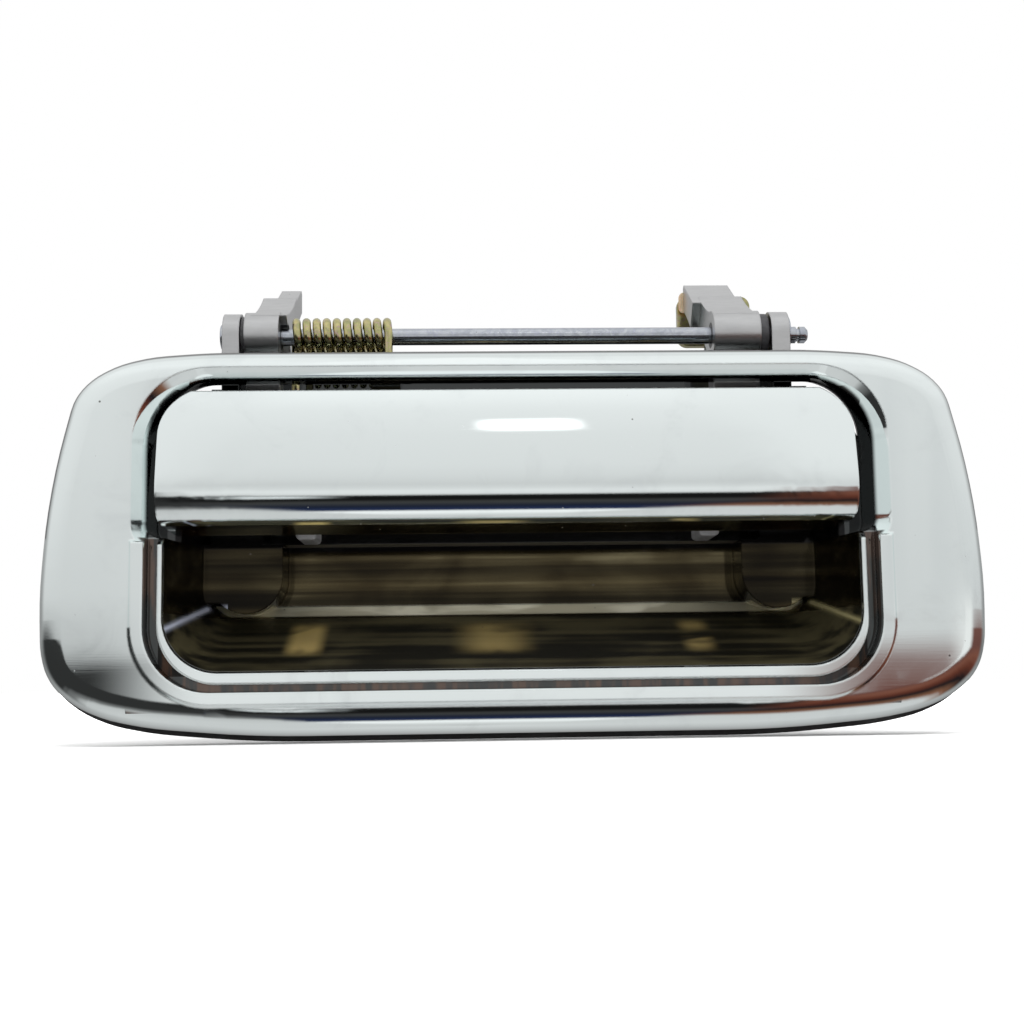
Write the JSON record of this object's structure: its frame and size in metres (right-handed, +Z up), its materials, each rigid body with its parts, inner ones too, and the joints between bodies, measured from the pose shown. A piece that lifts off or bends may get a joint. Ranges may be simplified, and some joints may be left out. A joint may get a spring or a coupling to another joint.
{
  "type": "car door handle",
  "caption": "Flush chrome outside car door handle with a pull-up paddle, finger bowl, sprung hinge pin and a lever that works the latch rod.",
  "frame": {"origin": "middle of the two fixing bosses, in the plane of their rear faces, where the handle bolts to the door", "axes": "+X along the handle to the right as seen from outside the door, +Y into the door, +Z up"},
  "size_m": [0.1916, 0.0658, 0.104],
  "materials": {
    "chrome_plate": "bright nickel-chrome plating on zinc die casting, thin and warm-tinted inside the finger bowl",
    "zinc_steel": "clear zinc plated steel",
    "yellow_zinc": "yellow-green passivated zinc on steel",
    "black_rubber": "matt moulded black rubber",
    "grey_rubber": "matt grey rubber",
    "black_nylon": "moulded black nylon",
    "natural_nylon": "moulded natural nylon"
  },
  "bodies": {
    "base": {"frame": "chrome_plate", "gasket": "black_rubber", "hinge_pin": "zinc_steel", "pin_retainer": "zinc_steel", "bump_stop_left": "grey_rubber", "bump_stop_right": "grey_rubber", "lever_bracket": "yellow_zinc", "bracket_screws": "zinc_steel", "lock_washers": "zinc_steel", "lever_pin": "zinc_steel", "return_spring": "yellow_zinc", "lever_spring": "zinc_steel"},
    "paddle": {"paddle": "chrome_plate", "pivot_bush_left": "black_nylon", "pivot_bush_right": "black_nylon", "horn_pad": "natural_nylon"},
    "lever": {"release_lever": "yellow_zinc", "lever_bushes": "natural_nylon", "rod_clip": "natural_nylon"}
  },
  "joints": [
    {"name": "paddle_hinge", "type": "hinge", "parent": "base", "child": "paddle", "pos_m": [0, -0.021, 0.0515], "axis": [-1, 0, 0], "range_deg": [0, 26], "stiffness_Nm_per_rad": 0.6, "springref_deg": -51.57, "deforming": ["return_spring"]},
    {"name": "lever_pivot", "type": "hinge", "parent": "base", "child": "lever", "pos_m": [0.0513, 0.005, 0.0413], "axis": [-1, 0, 0], "range_deg": [0, 18], "deforming": ["lever_spring"]}
  ],
  "couplings": [
    {"joint": "lever_pivot", "follows": "paddle_hinge", "ratio": 0.69}
  ]
}
